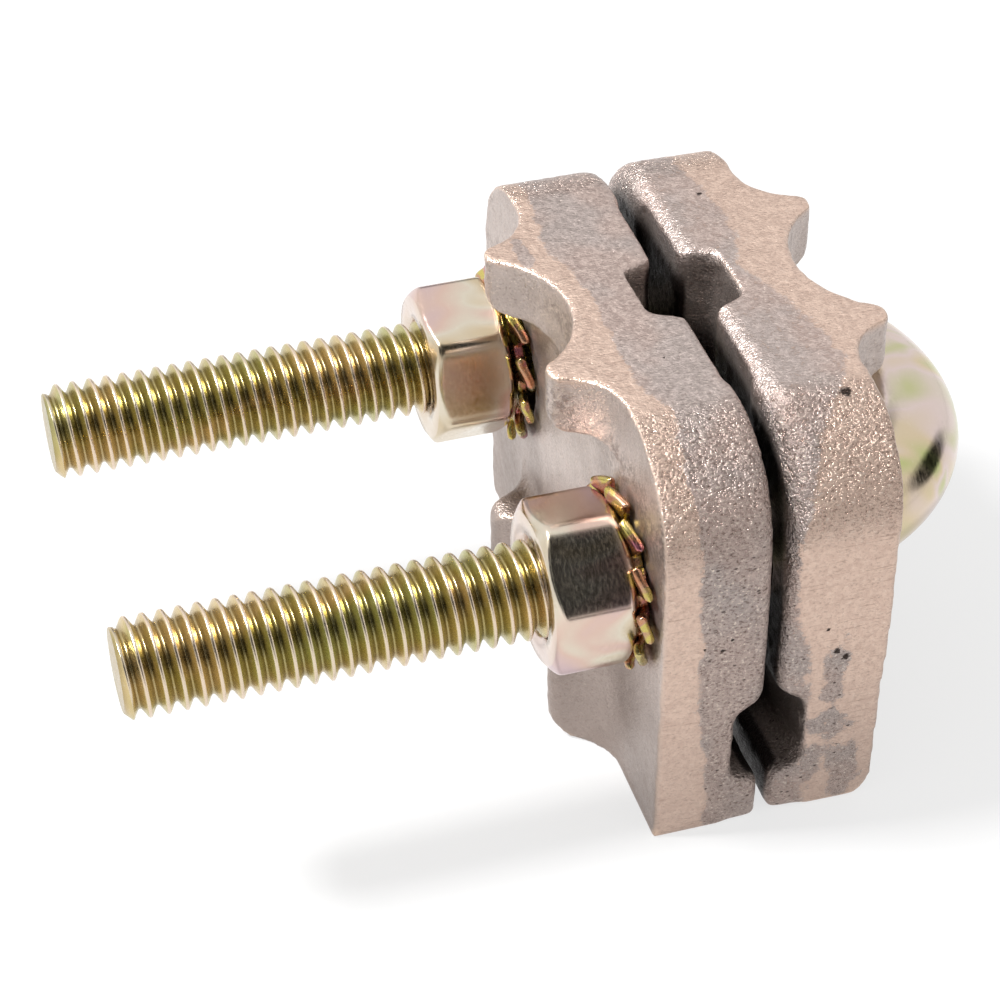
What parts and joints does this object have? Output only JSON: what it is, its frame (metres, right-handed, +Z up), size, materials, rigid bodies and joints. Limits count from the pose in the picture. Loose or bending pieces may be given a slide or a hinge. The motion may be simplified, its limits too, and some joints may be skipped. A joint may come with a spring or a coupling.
{
  "type": "ground rod clamp",
  "caption": "Cast bronze split clamp with fluted jaws, drawn together by a threaded U-bolt, hex nuts and star lock washers, for a ground rod and its conductors.",
  "frame": {"origin": "middle of the clamp's length and width, on the plane that the jaws stand on", "axes": "+X across the two legs and along the jaws, +Y along the legs from their free ends to the bend, +Z up"},
  "size_m": [0.049, 0.0732, 0.0373],
  "materials": {
    "cast_bronze": "sand-cast with linished edges and brown patina",
    "zinc_bolt": "yellow zinc plating over rolled thread",
    "zinc_nut": "yellow zinc plating",
    "zinc_washer": "yellow zinc plating over spring steel"
  },
  "bodies": {
    "u_bolt": {"u_bolt": "zinc_bolt"},
    "back_jaw": {"back_jaw": "cast_bronze"},
    "front_jaw": {"front_jaw": "cast_bronze", "near_lock_washer": "zinc_washer", "far_lock_washer": "zinc_washer"},
    "near_nut": {"near_nut": "zinc_nut"},
    "far_nut": {"far_nut": "zinc_nut"}
  },
  "joints": [
    {"name": "rod_side_slide", "type": "slide", "parent": "u_bolt", "child": "back_jaw", "axis": [0, -1, 0], "range_m": [0, 0.016]},
    {"name": "conductor_side_slide", "type": "slide", "parent": "back_jaw", "child": "front_jaw", "axis": [0, -1, 0], "range_m": [0, 0.008]},
    {"name": "near_nut_turn", "type": "hinge", "parent": "front_jaw", "child": "near_nut", "pos_m": [0.0157, -0.0006, 0.022], "axis": [0, -1, 0], "range_deg": [0, 2045]},
    {"name": "far_nut_turn", "type": "hinge", "parent": "front_jaw", "child": "far_nut", "pos_m": [-0.0157, -0.0013, 0.022], "axis": [0, -1, 0], "range_deg": [0, 2045]}
  ],
  "couplings": [
    {"joint": "near_nut_turn", "follows": "conductor_side_slide", "rad_per_m": 4453},
    {"joint": "far_nut_turn", "follows": "conductor_side_slide", "rad_per_m": 4453}
  ]
}
